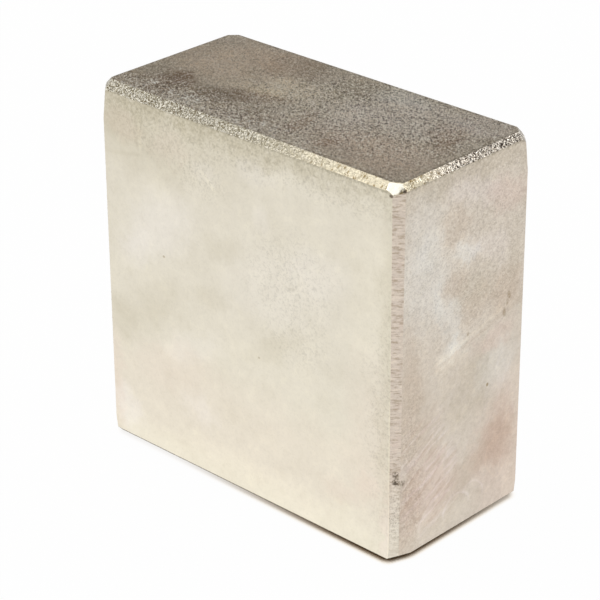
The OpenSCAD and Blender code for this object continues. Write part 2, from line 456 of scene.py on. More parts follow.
# Patches on a face: tint, place across and up in mm, half sizes in mm, turn in degrees, strength
FRONT_PATCHES = (
    # The two olive bands along the top are painted shade: the face darker towards its top.
    ("olive", (0, 49.5), (30, 3.0), 0, 1.4),
    ("olive", (-4, 48.5), (26, 0.7), 0, 0.5),
    ("olive", (-15, 45), (14, 5.0), 4, 1.0),
    ("olive", (-20.5, 46), (5, 3.4), 0, 0.6),
    # This cream patch over the lower half, and the cream band at the foot two lines below, are painted
    # light: the face lighter towards its foot.
    ("cream", (4, 0), (32, 20), 0, 0.5),
    ("rose", (-2, 9.0), (28, 6.5), 0, 0.35),
    ("cream", (0, 1.6), (28, 3.4), 0, 0.7),
    ("rose", (-20.5, 45), (3, 2), 0, 0.5),
    ("rose", (-12.5, 44), (3.4, 1.8), 10, 0.4),
    ("haze", (-14.8, 33.0), (6.4, 3.6), 32, 0.75),
    ("haze", (-19.5, 28.2), (3.2, 1.9), 30, 0.4),
    ("haze", (5.2, 30.6), (8.5, 5.0), 15, 0.35),
    ("haze", (2.2, 45.3), (2.6, 1.7), 0, 0.4),
    ("haze", (-6, 42.6), (1.8, 1.4), 0, 0.4),
    ("haze", (3.4, 39.6), (1.6, 1.7), 0, 0.35),
    ("haze", (12.5, 35.3), (4.4, 2.6), 0, 0.35),
    ("olive", (-3.4, 33.4), (3.2, 1.4), 12, 0.45),
    ("olive", (-5.6, 26.4), (3.0, 1.5), 20, 0.5),
    ("olive", (-16.5, 21.0), (7.0, 2.6), 34, 0.6),
    ("olive", (-22, 17.6), (2.4, 2.4), 0, 0.5),
    ("olive", (5.9, 23.3), (5.4, 1.6), 33, 0.6),
    ("rose", (-13, 14.0), (7, 3.0), 15, 0.3),
    ("haze", (-9, 17.8), (5.2, 2.0), 22, 0.4),
    ("haze", (-8.2, 9.6), (2.8, 2.2), 0, 0.6),
    ("haze", (-21.5, 5), (2.4, 2.6), 0, 0.8),
    ("rose", (-24.2, 8), (1.8, 7), 0, 0.6),
    ("olive", (24.4, 28), (2.4, 21), 0, 0.9),
    ("rose", (21.0, 17), (3.6, 9), 0, 0.4),
    ("rose", (16, 7.0), (2.6, 1.8), 0, 0.4),
    ("rose", (20.4, 9.4), (1.8, 1.8), 0, 0.4),
    ("rose", (24.0, 5), (1.0, 6), 0, 0.6),
    ("haze", (24.2, 4), (1.0, 5), 0, 0.4),
    ("cream", (21, 36), (4, 9), 0, 0.35),
    ("stain", (-13.9, 29.1), (0.2, 0.16), 0, 0.6),
    ("stain", (2.6, 20.7), (0.16, 0.14), 0, 0.45),
    ("cream", (24.05, 22), (0.16, 25), 0, 0.8),
    ("olive", (-18.2, 44.5), (0.25, 2.6), 4, 0.45),
    ("cream", (-17.6, 44.5), (0.3, 2.4), 4, 0.45),
    ("olive", (-20.6, 41.2), (2.8, 0.26), 10, 0.5),
    ("cream", (-6.2, 42.3), (1.1, 0.3), -35, 0.6),
    ("cream", (-5.2, 41.4), (0.9, 0.3), -40, 0.6),
)
RIGHT_PATCHES = (
    ("olive", (0, 48.8), (14, 2.2), 0, 0.9),
    ("frost", (-7.2, 43.6), (3.8, 4.4), 0, 0.45),
    ("frost", (-7.0, 36.2), (4.2, 5.6), 0, 0.6),
    ("frost", (-2.6, 30.0), (1.5, 4.6), 28, 0.6),
    ("frost", (0.4, 38.0), (2.2, 1.4), -20, 0.7),
    ("haze", (1.2, 45.6), (4.2, 1.7), -18, 0.6),
    ("haze", (4.2, 37.4), (3.8, 1.9), -25, 0.4),
    ("rose", (7.0, 43.4), (4, 1.8), -20, 0.8),
    ("tan", (-1.6, 41.8), (1.8, 2.6), 20, 0.5),
    ("tan", (-1.8, 34.4), (2.0, 1.6), 0, 0.6),
    ("tan", (7.6, 30.6), (3.0, 3.0), 10, 0.8),
    ("tan", (1.8, 30.4), (2.6, 2.0), 10, 0.5),
    ("olive", (2.0, 32.6), (3.6, 2.4), 0, 0.6),
    ("olive", (9.2, 34.5), (1.6, 3.0), 0, 0.6),
    ("frost", (-1.4, 25.9), (2.4, 1.2), 0, 0.5),
    ("cream", (-2.4, 24.9), (2.4, 1.2), 0, 0.5),
    ("tan", (-9.6, 21.0), (2.4, 9.4), 0, 0.75),
    ("tan", (-6.0, 16.0), (2.2, 3.4), 0, 0.4),
    ("frost", (6.6, 20.2), (3.6, 3.0), 20, 0.55),
    ("rose", (5.6, 24.6), (3.4, 1.5), 12, 0.7),
    ("olive", (1.2, 18.6), (4.0, 3.4), 20, 0.6),
    ("tan", (7.2, 10.4), (4.2, 4.0), 40, 0.9),
    ("rose", (6.8, 10.2), (3.4, 3.0), 30, 0.3),
    ("dusk", (6.8, 10.0), (2.6, 2.2), 30, 0.25),
    ("olive", (3.2, 22.0), (2.6, 1.8), 15, 0.4),
    ("olive", (6.2, 20.0), (2.4, 1.8), 0, 0.3),
    ("tan", (0.6, 7.4), (4.2, 1.8), 20, 0.6),
    ("rose", (-6.5, 8.5), (5, 4.5), 20, 0.9),
    ("tan", (-10.0, 6.4), (2.2, 5.4), 0, 0.65),
    ("rose", (8.5, 8.0), (5.5, 10), 0, 0.7),
    ("cream", (-5.5, 3.0), (6.5, 2.2), 3, 0.4),
    ("cream", (9.8, 3.8), (2.0, 3.4), 0, 0.5),
    ("cream", (1.2, 26.6), (6.9, 0.28), 14, 0.7),
    ("tan", (1.4, 25.9), (6.4, 0.25), 14, 0.5),
    ("stain", (8.45, 29.5), (0.28, 0.55), 20, 0.6),
    ("stain", (8.1, 28.6), (0.22, 0.4), -10, 0.45),
    ("stain", (7.6, 27.4), (0.28, 0.55), 10, 0.5),
    ("stain", (4.8, 18.6), (0.22, 0.24), 0, 0.9),
    ("stain", (0.8, 27.0), (0.2, 0.3), 0, 0.5),
)
TOP_PATCHES = (
    ("rose", (-17, 4.6), (8, 7), 0, 0.35),
    ("cream", (-16, 4.0), (8, 6), 0, 0.6),
    ("dusk", (0, -10.85), (27, 0.3), 0, 0.8),
    ("tan", (-9.5, 7.6), (5, 3.4), 0, 0.5),
    ("cream", (-4.4, 1.2), (4.6, 3.4), 20, 0.9),
    ("cream", (-7, -1.2), (3, 1.2), 0, 0.5),
    ("olive", (0.8, 7.5), (2.6, 4.0), 0, 0.7),
    ("haze", (12.2, 5.0), (8, 5), 0, 0.55),
    ("haze", (20.5, 8.6), (4, 3), 0, 0.6),
    ("frost", (7.6, 8.8), (4, 2.4), 0, 0.4),
    ("dusk", (-17.6, -5.0), (2.6, 2.4), 0, 0.9),
    ("tan", (-16.8, -5.0), (1.6, 1.4), 0, 0.5),
    ("tan", (-6.4, -3.2), (4.0, 1.5), 14, 0.4),
    ("dusk", (-7.4, -3.4), (4.4, 1.6), 14, 0.4),
    ("olive", (-11.2, -6.4), (4.0, 2.2), 10, 0.7),
    ("dusk", (-11.6, -6.6), (4.4, 2.2), 10, 0.6),
    ("dusk", (-16.5, -9.4), (2.4, 1.4), 0, 0.5),
    ("dusk", (-20.5, -8.5), (5, 3), 0, 0.35),
    ("dusk", (-3, -8.4), (7, 2.6), 0, 0.35),
    ("rose", (15, -5.6), (9, 4.6), 0, 0.45),
    ("cream", (16, -4.6), (6, 3), 0, 0.35),
    ("tan", (3.2, -5.2), (1.3, 3.6), 16, 0.8),
    ("haze", (1.0, -8.6), (3.0, 1.8), 0, 0.15),
    ("haze", (6.6, -0.4), (2.4, 3.6), 20, 0.4),
    ("tan", (19.6, 2.2), (1.8, 4.2), 30, 0.8),
    ("tan", (9.6, -8.3), (1.2, 1.9), 0, 0.9),
    ("olive", (-22.6, -3.6), (2.0, 6), 0, 0.4),
)
# Clusters of bright flecks, painted glints: place across and up in mm, half sizes in mm, turn,
# strength
TOP_FLECK_GLINTS = (
    ((-18.9, -8.0), (1.3, 0.8), 0, 1.0),
    ((-20.6, -9.6), (1.2, 0.6), 0, 0.6),
    ((-12.4, -9.1), (3.0, 1.3), -6, 1.0),
    ((-6.6, -3.2), (1.0, 0.4), -20, 0.8),
    ((-1.0, -9.5), (5.5, 1.5), 0, 0.7),
    ((-4, -10.9), (20, 0.4), 0, 0.8),
)
# Where the grain is lively: place across and up in mm, half sizes in mm, turn, strength
FRONT_BUSY = (
    ((0, 48.7), (28, 1.2), 0, 1.3),
    ((0, 47.6), (28, 2.8), 0, 1.0),
    ((-12, 45.2), (10, 3.2), 0, 0.7),
    ((8.0, 33.0), (6.5, 5.5), 20, 0.75),
    ((9.0, 26.0), (4.5, 4.5), 0, 0.55),
    ((-7.0, 42.0), (3.5, 2.6), 0, 0.9),
    ((24.0, 20.0), (3.4, 16), 0, 0.75),
)
RIGHT_BUSY = (
    ((0, 40.0), (14, 14), 0, 1.0),
    ((0, 47.5), (14, 3), 0, 1.0),
    ((-9.5, 12), (2.4, 12), 0, 0.8),
    ((-10.8, 8), (0.9, 3.5), 0, 1.8),
)
TOP_BUSY = (
    ((9, 3), (16, 10), 10, 1.0),
    ((-8, -9.4), (18, 3.2), 0, 1.1),
    ((2, -6), (7, 5), 0, 0.8),
)
OTHER_BUSY = (
    ((6, 20), (14, 16), 20, 0.8),
    ((-8, 3), (9, 6), 0, 0.7),
)
BACK_PATCHES = (
    ("haze", (9, 34), (8, 5), -25, 0.8),
    ("olive", (-12, 40), (11, 6), 12, 0.8),
    ("rose", (14, 12), (10, 6), 0, 0.7),
    ("cream", (-6, 6), (13, 4.5), 3, 0.8),
    ("tan", (-19, 18), (4, 6), 0, 0.4),
    ("haze", (-4, 23), (6, 3), 35, 0.5),
    ("olive", (18, 44), (6, 4), -20, 0.6),
    ("stain", (-10.4, 27.2), (0.3, 0.22), 30, 0.6),
)
LEFT_PATCHES = (
    ("frost", (5, 12), (5, 6), 20, 0.6),
    ("tan", (-5, 39), (5, 5), -30, 0.6),
    ("rose", (3, 30), (7, 5), 0, 0.8),
    ("olive", (-6, 22), (4, 6), 0, 0.6),
    ("cream", (4, 45), (6, 3), 0, 0.6),
    ("stain", (-3.2, 33.4), (0.3, 0.5), 0, 0.5),
)
BASE_PATCHES = (
    ("tan", (-12, 3), (9, 5), 10, 0.8),
    ("haze", (9, -3), (8, 5), -10, 0.7),
    ("olive", (0, 5), (6, 4), 0, 0.7),
    ("cream", (17, 5), (5, 4), 0, 0.6),
)
# Ring-shaped scuffs: tint, place across and up in mm, half sizes in mm, turn, width, strength
FRONT_RINGS = (
    ("olive", (7.6, 33.6), (1.7, 1.9), -120, 0.16, 0.4),
    ("cream", (7.6, 33.6), (2.2, 2.4), -120, 0.12, 0.3),
)
RIGHT_RINGS = (
    ("haze", (-0.6, 3.6), (2.4, 1.9), 10, 0.14, 1.0),
    ("haze", (2.6, 4.4), (2.0, 1.5), -30, 0.16, 0.8),
    ("haze", (-4.6, 4.6), (3.2, 1.7), 30, 0.12, 0.5),
    ("cream", (9.0, 7.0), (3.0, 4.4), 60, 0.08, 0.4),
)
# Dark specks: place in mm on the object, half sizes in mm
DEEP_SPECKS = (
    ((24.66, -11.5, 12.6), (0.45, 0.45, 0.55)),
    ((24.7, -11.45, 11.7), (0.55, 0.55, 0.6)),
    ((25.0, -10.7, 11.4), (0.3, 0.45, 0.5)),
    ((-14.2, -11.1, 49.9), (0.26, 0.22, 0.2)),
    ((-10.9, -11.3, 49.7), (0.22, 0.24, 0.26)),
    ((23.75, -12.0, 48.7), (0.32, 0.3, 0.22)),
    ((25.0, -11.0, 49.35), (0.35, 0.4, 0.3)),
)


def start_material(name):
    """Makes a material with its metal shader and its place on the object."""
    material = bpy.data.materials.new(name)
    material.use_nodes = True
    material.node_tree.nodes.clear()
    w = Wiring(material.node_tree)
    shader = w.node("ShaderNodeBsdfPrincipled", {"Metallic": 1.0})
    w.node("ShaderNodeOutputMaterial", {"Surface": shader.outputs[0]})
    return material, w, shader, w.node("ShaderNodeTexCoord").outputs["Object"]


def finish_surface(w, shader, shade, roughness, height):
    """Joins a colour, a roughness and a height in millimetres to the metal shader."""
    w.feed(shader.inputs["Base Color"], shade)
    w.feed(shader.inputs["Roughness"], roughness)
    bump = w.node("ShaderNodeBump", {"Height": height, "Strength": 1.0, "Distance": MM})
    w.feed(shader.inputs["Normal"], bump.outputs[0])


def cover_of(w, groups, on_face, patches):
    """Where any of several soft patches lies on a face."""
    cover = 0.0
    for centre, radii, turn, strength in patches:
        spot = w.group(groups["patch"], place=on_face["Warped"], centre=(*centre, 0),
                       radii=(*radii, 1), turn=math.radians(turn), softness=0.5,
                       strength=strength)["Mask"]
        cover = w.math("MAXIMUM", cover, spot)
    return cover


def face_finish(name, look, groups, across, up, base, roughness, patches, gain, mottle, grain,
                busy, streaks, middle, half, rings=(), fleck_glints=()):
    """Satin plating of one flat face, with its own patches of haze and handling, some patches of
    painted shade and painted light, and on the top painted glints.
    """
    material, w, shader, place = start_material(name)
    on_face = w.group(groups["place"], object=place, across=across, up=up, warp=5.0)
    position = on_face["Position"]
    shade = (*base, 1)
    for size, strength in mottle:
        shade = w.group(groups["mottle"], colour=shade, light=(*look.cream, 1),
                        dark=(*look.olive, 1), position=position, size=size,
                        strength=strength)["Colour"]
    for tint, centre, radii, turn, strength in patches:
        small, thin = max(radii) < 1, min(radii) < 0.5
        shade = w.group(
            groups["patch"], colour=shade, tint=(*getattr(look, tint), 1),
            place=on_face["Place" if small else "Wobbly" if thin else "Warped"],
            centre=(*centre, 0), radii=(*radii, 1), turn=math.radians(turn),
            softness=0.4 if small else 0.6, strength=strength * (1 if thin else gain))["Colour"]
    for tint, turn, width, run, cover, strength, areas in streaks:
        there = cover_of(w, groups, on_face, areas) if areas else 1.0
        shade = w.group(
            groups["streaks"], colour=shade, tint=(*getattr(look, tint), 1),
            place=on_face["Wobbly"], turn=math.radians(turn), width=width, run=run, cover=cover,
            strength=w.math("MULTIPLY", there, strength))["Colour"]
    for tint, centre, radii, turn, width, strength in rings:
        shade = w.group(
            groups["ring"], colour=shade, tint=(*getattr(look, tint), 1),
            place=on_face["Wobbly"], centre=(*centre, 0), radii=(*radii, 1),
            turn=math.radians(turn), width=width, strength=strength)["Colour"]
    size, contrast, depth, quiet, drawn, way = grain
    lively = w.ramp(cover_of(w, groups, on_face, busy), 0, 1, quiet, 1, smooth=False)
    turned = w.turn(position, math.radians(way))
    grained = w.group(groups["grain"], colour=shade, position=turned, drawn=drawn, size=size,
                      contrast=w.math("MULTIPLY", lively, contrast),
                      depth=w.math("MULTIPLY", lively, depth))
    # The face is darker along its borders.
    border_dark = w.group(groups["border"], place=on_face["Place"], middle=(*middle, 0),
                   half=(*half, 0), position=position, width=0.4)["Mask"]
    shade = w.mix(w.math("MULTIPLY", border_dark, 0.55), grained["Colour"],
                  w.mix(1.0, grained["Colour"], (*look.gap, 1), "MULTIPLY"))
    height = grained["Height"]
    cloud = w.noise(position, 0.3, 3.0).outputs["Fac"]
    gloss = w.ramp(cloud, 0.3, 0.7, roughness - 0.04, roughness + 0.04)
    # Flecks: painted glints, near white and less metallic, on a little bump.
    if fleck_glints:
        spots = w.noise(w.vector("MULTIPLY", position, (0.55, 1, 1)), 3.0, 1.0, 0.5, 1.0)
        bright = w.math("MULTIPLY", w.ramp(spots.outputs["Fac"], 0.6, 0.62),
                        cover_of(w, groups, on_face, fleck_glints))
        shade = w.mix(bright, shade, (*look.fleck_glint, 1))
        height = w.math("ADD", height, w.math("MULTIPLY", bright, 0.07))
        w.feed(shader.inputs["Metallic"], w.math("SUBTRACT", 1.0, w.math("MULTIPLY", bright, 0.6)))
    shade = w.mix(w.group(groups["specks"], position=position)["Mask"], shade,
                  (*look.chip_metal, 1))
    finish_surface(w, shader, shade, gloss, height)
    return material


def edge_finish(name, look, groups, shade_dimming):
    """Coarse ground edge, with bright grains and dark gaps that grow finer towards one corner. The
    sparks on the grains are painted glints, the darkened gaps painted shade, and the shade dimming
    darkens the whole edge as painted shade.
    """
    material, w, shader, place = start_material(name)
    position = w.vector("SCALE", place, 1000)
    corner = w.vector("DISTANCE", position, (25, -12, 50))
    rough = w.ramp(corner, 3, 32, 0.1, 1.0)
    depth_in = w.node("ShaderNodeSeparateXYZ", {0: position}).outputs["Y"]
    behind = w.ramp(depth_in, -10, 0)
    shade = w.mix(rough, (*look.edge_nickel, 1), (*look.edge_dull, 1))
    shade = w.mix(w.ramp(depth_in, -11.2, -10.2), shade,
                  w.mix(1.0, shade, (*look.olive, 1), "MULTIPLY"))
    shade = w.mix(behind, shade, (*look.edge_behind, 1))
    shade = w.group(groups["mottle"], colour=shade, light=(*look.cream, 1), dark=(*look.olive, 1),
                    position=position, size=1.2, strength=0.9)["Colour"]
    shade = w.group(groups["mottle"], colour=shade, light=(*look.cream, 1), dark=(*look.stain, 1),
                    position=w.vector("MULTIPLY", position, (1, 0.5, 0.5)), size=0.45,
                    strength=w.ramp(corner, 3, 20, 1.9, 0.3))["Colour"]
    coarse, fine = (w.noise(position, scale, 1.0, 0.5, 0.7).outputs["Fac"] for scale in (4.2, 7.0))
    grains = w.ramp(w.math("ADD", coarse, fine), 0.74, 1.26, 0.2, 0.8, smooth=False)
    # Painted shade in the gaps between grains, and in the deepest ones the chip's colour as painted
    # shade.
    gaps = w.math("MULTIPLY", w.ramp(grains, 0.52, 0.42), rough)
    shade = w.mix(gaps, shade, w.mix(1.0, shade, (*look.gap, 1), "MULTIPLY"))
    shade = w.mix(w.math("MULTIPLY", w.ramp(grains, 0.42, 0.34), w.math("MULTIPLY", rough, 0.6)),
                  shade, (*look.chip_metal, 1))
    # Sparks: painted glints on the brightest grains, near white and less metallic.
    spark_glints = w.math("MULTIPLY", w.ramp(grains, 0.51, 0.6),
                    w.math("MAXIMUM", w.math("MULTIPLY", rough, 0.65), behind))
    shade = w.mix(spark_glints, shade, w.mix(behind, (*look.fleck_glint, 1), (*look.spark_glint, 1)))
    # Painted shade: near black in the deepest gaps between grains on the right top edge.
    shade = w.mix(w.math("MULTIPLY", w.ramp(grains, 0.475, 0.41), behind), shade,
                  (*look.deep_gap_shade, 1))
    # Painted shade: the whole edge darkened by the shade dimming.
    shade = w.mix(1.0, shade, (shade_dimming, shade_dimming, shade_dimming, 1), "MULTIPLY")
    shade = w.mix(w.group(groups["specks"], position=position)["Mask"], shade,
                  (*look.chip_metal, 1))
    height = w.math("MULTIPLY", grains, w.ramp(rough, 0, 1, 0.02, 0.09, smooth=False))
    gloss = w.ramp(grains, 0.4, 0.65, look.edge_roughness + 0.1, look.edge_roughness - 0.06)
    w.feed(shader.inputs["Metallic"], w.math("SUBTRACT", 1.0, w.math("MULTIPLY", spark_glints, 0.2)))
    finish_surface(w, shader, shade, gloss, height)
    return material


def upright_finish(look, groups):
    """Upright ground edge, with fine marks across it."""
    material, w, shader, place = start_material("upright_edge_nickel")
    position = w.vector("SCALE", place, 1000)
    marks = w.noise(w.vector("MULTIPLY", position, (0.9, 0.9, 4.0)), 1.0, 2.0, 0.6).outputs["Fac"]
    shade = w.group(groups["mottle"], colour=(*look.upright_nickel, 1), light=(*look.cream, 1),
                    dark=(*look.rose, 1), position=position, size=3.0, strength=0.7)["Colour"]
    height_up = w.node("ShaderNodeSeparateXYZ", {0: position}).outputs["Z"]
    shade = w.mix(w.ramp(height_up, 14, 3, 0.0, 0.7), shade, (*look.pole_nickel, 1))
    banded = w.math("MULTIPLY", w.ramp(marks, 0.5, 0.36), w.ramp(height_up, 5, 13, 0.3, 1.0))
    shade = w.mix(w.math("MULTIPLY", banded, 0.5), shade,
                  w.mix(1.0, shade, (*look.stain, 1), "MULTIPLY"))
    shade = w.mix(w.ramp(marks, 0.54, 0.66), shade, w.mix(1.0, shade, (*look.cream, 1), "MULTIPLY"))
    grained = w.group(groups["grain"], colour=shade, position=position, drawn=(1, 1, 1), size=0.24,
                      contrast=w.math("MULTIPLY", w.ramp(height_up, 13, 8, 0.25, 1.0),
                                      w.ramp(height_up, 2, 5, 0.12, 0.6)), depth=0.008)
    shade = w.mix(w.group(groups["specks"], position=position)["Mask"], grained["Colour"],
                  (*look.chip_metal, 1))
    height = w.math("ADD", grained["Height"], w.math("MULTIPLY", marks, 0.03))
    gloss = w.ramp(marks, 0.3, 0.7, look.edge_roughness + 0.08, look.edge_roughness)
    finish_surface(w, shader, shade, gloss, height)
    return material


def corner_finish(look, groups):
    """Polished corner, with hardly any grain."""
    material, w, shader, place = start_material("worn_corner_nickel")
    position = w.vector("SCALE", place, 1000)
    grained = w.group(groups["grain"], colour=(*look.corner_nickel, 1), position=position,
                      drawn=(1, 1, 1), size=0.4, contrast=0.03, depth=0.004)
    gloss = w.ramp(grained["Grain"], -1, 1, 0.28, 0.2)
    finish_surface(w, shader, grained["Colour"], gloss, grained["Height"])
    return material


def make_finishes(look):
    """All finishes of the block, by the side of the block that they are for."""
    groups = {"place": make_face_place(), "patch": make_tint_patch(), "mottle": make_mottle(),
              "grain": make_grain(), "streaks": make_streaks(), "border": make_border(),
              "ring": make_ring(), "specks": make_deep_specks()}
    x, y, z = (1, 0, 0), (0, 1, 0), (0, 0, 1)
    low_left, low_right = (((-6.5, 11), (5, 8), 10, 1.0),), (((4, 15), (8, 10), 20, 0.6),)
    # Grain: size, contrast, depth, share of it in quiet areas, drawing out, and its way in degrees.
    # Streaks: tint, way in degrees, width, run, cover, strength, and the areas that they keep to.
    pole = {"base": look.pole_nickel, "roughness": look.face_roughness, "up": z, "across": x,
            "middle": (0, 24), "half": (26, 25.1), "gain": 1.0,
            "mottle": ((5.0, 0.25), (1.3, 0.25), (0.6, 0.15)),
            "grain": (0.5, 0.32, 0.012, 0.2, (1, 1, 1), 0),
            "streaks": (("cream", 78, 0.16, 2.2, 0.3, 0.25, ()),
                        ("olive", 60, 0.2, 2.0, 0.28, 0.3, ()))}
    side = {"base": look.shaded_side_nickel, "roughness": look.face_roughness, "up": z, "across": y,
            "middle": (0, 24), "half": (13, 25.25), "gain": 1.2,
            "mottle": ((4.5, 0.4), (1.2, 0.5), (0.55, 0.4)),
            "grain": (0.36, 0.35, 0.014, 0.35, (1, 0.85, 1.1), 0),
            "streaks": (("haze", 24, 0.75, 7.0, 0.41, 1.2, low_left),
                        ("tan", 32, 0.9, 5.5, 0.4, 0.8, low_left),
                        ("haze", 62, 0.6, 3.0, 0.38, 0.6, low_right),
                        ("frost", 8, 0.3, 1.6, 0.3, 0.35, ()))}
    end = {"base": look.shaded_end_nickel, "roughness": look.end_roughness, "up": y, "across": x,
           "middle": (0, 0), "half": (24.15, 11.15), "gain": 2.6,
           "mottle": ((4.0, 0.9), (1.0, 0.9)), "grain": (0.27, 1.6, 0.045, 0.5, (1, 0.5, 1), 43.5),
           "streaks": (("cream", 12, 0.2, 1.2, 0.26, 0.5, ()),)}
    return {
        (1, -1): face_finish("front_pole_nickel", look, groups, patches=FRONT_PATCHES, busy=FRONT_BUSY,
                             rings=FRONT_RINGS, **pole),
        (1, 1): face_finish("back_pole_nickel", look, groups, patches=BACK_PATCHES, busy=OTHER_BUSY,
                            **pole),
        (0, 1): face_finish("right_side_nickel", look, groups, patches=RIGHT_PATCHES, busy=RIGHT_BUSY,
                            rings=RIGHT_RINGS, **side),
        (0, -1): face_finish("left_side_nickel", look, groups, patches=LEFT_PATCHES, busy=OTHER_BUSY,
                             **side),
        (2, 1): face_finish("top_nickel", look, groups, patches=TOP_PATCHES, busy=TOP_BUSY,
                            fleck_glints=TOP_FLECK_GLINTS, **end),
        (2, -1): face_finish("base_nickel", look, groups, patches=BASE_PATCHES, busy=OTHER_BUSY,
                             **end),
        "edge": edge_finish("ground_edge_nickel", look, groups, 1.0),
        # The foot edges face the floor and are dimmed to three quarters as painted shade.
        "foot": edge_finish("foot_edge_nickel", look, groups, 0.75),
        "upright": upright_finish(look, groups),
        "corner": corner_finish(look, groups),
    }


# Block

# How nearly the normal of a flat face lies along an axis
FLAT = 0.999
# Most that the normal of an upright chamfer looks up or down
UPRIGHT_TILT = 0.3
# Depth of each of the chip's bites, as a share of the deepest
CHIP_BITES = (1.0, 0.7, 1.0)
# Notches in the front top chamfer: mm from its left end, and place across it from 0 to 1
NOTCHES = ((10.8, 0.85), (14.1, 0.66))


def other_axes(axis):
    return [a for a in AXES if a != axis]


def chamfer_legs(sizes, axis, sides):
    """Legs of one chamfer at its low and high ends. The sides are those of the other two axes."""
    if axis == 0 and sides == (-1, 1):
        return sizes.front_top_left_leg, sizes.front_top_right_leg
    if axis == 1 and sides == (1, 1):
        return sizes.right_top_leg, sizes.right_top_leg
    if axis == 2 and sides == (1, -1):
        return sizes.upright_foot_leg, sizes.upright_top_leg
    return sizes.even_leg, sizes.even_leg


def corner_point(sizes, side):
    """Sharp corner of the uncut block, before its edges are ground."""
    half = Vector(sizes.extent) / 2
    return Vector((side[0] * half.x, side[1] * half.y, half.z + side[2] * half.z))


def edge_plane(sizes, axis, sides):
    """Point and outward normal of the plane that grinds one edge off."""
    low_side, high_side = [0, 0, 0], [0, 0, 0]
    inward = []
    for other, side in zip(other_axes(axis), sides):
        low_side[other] = high_side[other] = side
        step = Vector((0, 0, 0))
        step[other] = -side
        inward.append(step)
    low_side[axis], high_side[axis] = -1, 1
    low, high = corner_point(sizes, low_side), corner_point(sizes, high_side)
    low_leg, high_leg = chamfer_legs(sizes, axis, sides)
    on_first = low + inward[1] * low_leg
    on_second = low + inward[0] * low_leg
    further = high + inward[1] * high_leg
    normal = (on_second - on_first).cross(further - on_first).normalized()
    if normal.dot(inward[0]) > 0:
        normal.negate()
    return on_first, normal


def corner_planes(sizes, side):
    """Planes of one corner: its facet, and the worn shoulder of its upright chamfer."""
    corner = corner_point(sizes, side)
    if side == FRONT_RIGHT_TOP:
        depth = Vector((0, 0, sizes.leaning_depth))
        yield corner - depth, Vector(sizes.leaning_way).normalized()
        return
    end = [0 if s < 0 else 1 for s in side]
    x_leg = chamfer_legs(sizes, 0, (side[1], side[2]))[end[0]]
    y_leg = chamfer_legs(sizes, 1, (side[0], side[2]))[end[1]]
    z_leg = chamfer_legs(sizes, 2, (side[0], side[1]))[end[2]] + sizes.shoulders[end[2]]
    along_x = Vector((side[0], 0, 0))
    relief = sizes.front_left_relief if side == FRONT_LEFT_TOP else sizes.reliefs[end[2]]
    facet_cut = (x_leg + y_leg + z_leg) / 2 + relief
    steepness = sizes.shoulders[end[2]] / sizes.shoulder_runs[end[2]]
    if side == FRONT_RIGHT_FOOT:
        rise = Vector((0, 0, sizes.foot_facet_rise))
        yield corner + rise, Vector(sizes.foot_facet_way).normalized()
    else:
        yield corner - along_x * facet_cut, Vector(side).normalized()
    yield corner - along_x * z_leg, Vector((side[0], side[1], side[2] * steepness)).normalized()


def cut_away(point, normal):
    """Cuts off what lies beyond a plane and closes the cut."""
    bpy.ops.mesh.select_all(action="SELECT")
    bpy.ops.mesh.bisect(plane_co=point, plane_no=normal, use_fill=True, clear_outer=True)


def rule_across(sizes):
    """Cuts the faces into a grid of even steps, so that they can be waved."""
    for axis in AXES:
        span = sizes.extent[axis]
        count = round(span / sizes.face_step)
        normal = Vector((0, 0, 0))
        normal[axis] = 1
        for i in range(1, count):
            point = Vector(normal) * (span * i / count)
            if axis != 2:
                point -= normal * (span / 2)
            bpy.ops.mesh.select_all(action="SELECT")
            bpy.ops.mesh.bisect(plane_co=point, plane_no=normal)


def is_flat_face(normal):
    """True for a face of the block itself, and not of a chamfer, a corner or a border."""
    return max(abs(n) for n in normal) > FLAT


def select_edges(block, wanted):
    """Selects the edges that pass a test of their two ends and their faces' normals."""
    bpy.ops.mesh.select_mode(type="EDGE")
    bpy.ops.mesh.select_all(action="DESELECT")
    bpy.ops.object.mode_set(mode="OBJECT")
    mesh = block.data
    normals_at = {}
    for polygon in mesh.polygons:
        for key in polygon.edge_keys:
            normals_at.setdefault(key, []).append(polygon.normal)
    for edge in mesh.edges:
        a, b = (mesh.vertices[i].co for i in edge.vertices)
        edge.select = wanted(a, b, normals_at.get(edge.key, []))
    bpy.ops.object.mode_set(mode="EDIT")


def refine_ground_edges(block, sizes):
    """Divides the chamfers finely enough for their grain."""
    shortest_run, shortest_crossing = 3 * sizes.border_round, 5 * sizes.border_round

    def runs_along(a, b, normals):
        step = b - a
        along = max(abs(v) for v in step) > 0.98 * step.length
        return along and step.length > shortest_run and any(not is_flat_face(n) for n in normals)

    def crosses(a, b, normals):
        return (b - a).length > shortest_crossing and len(normals) == 2 and all(
            not is_flat_face(n) for n in normals) and not runs_along(a, b, normals)

    for test in (runs_along, crosses):
        select_edges(block, test)
        bpy.ops.mesh.subdivide(number_cuts=sizes.edge_cuts, quadcorner="INNERVERT")


def polished_test(sizes):
    """Test of whether a polygon lies on the facet of the polished corner."""
    point, normal = next(corner_planes(sizes, FRONT_RIGHT_TOP))
    least_cosine, most_below, furthest = 0.96, 0.03 * MM, 3 * MM

    def polished(polygon):
        away = polygon.center - point
        return (polygon.normal.dot(normal) > least_cosine and away.dot(normal) > -most_below
                and away.length < furthest)

    return polished


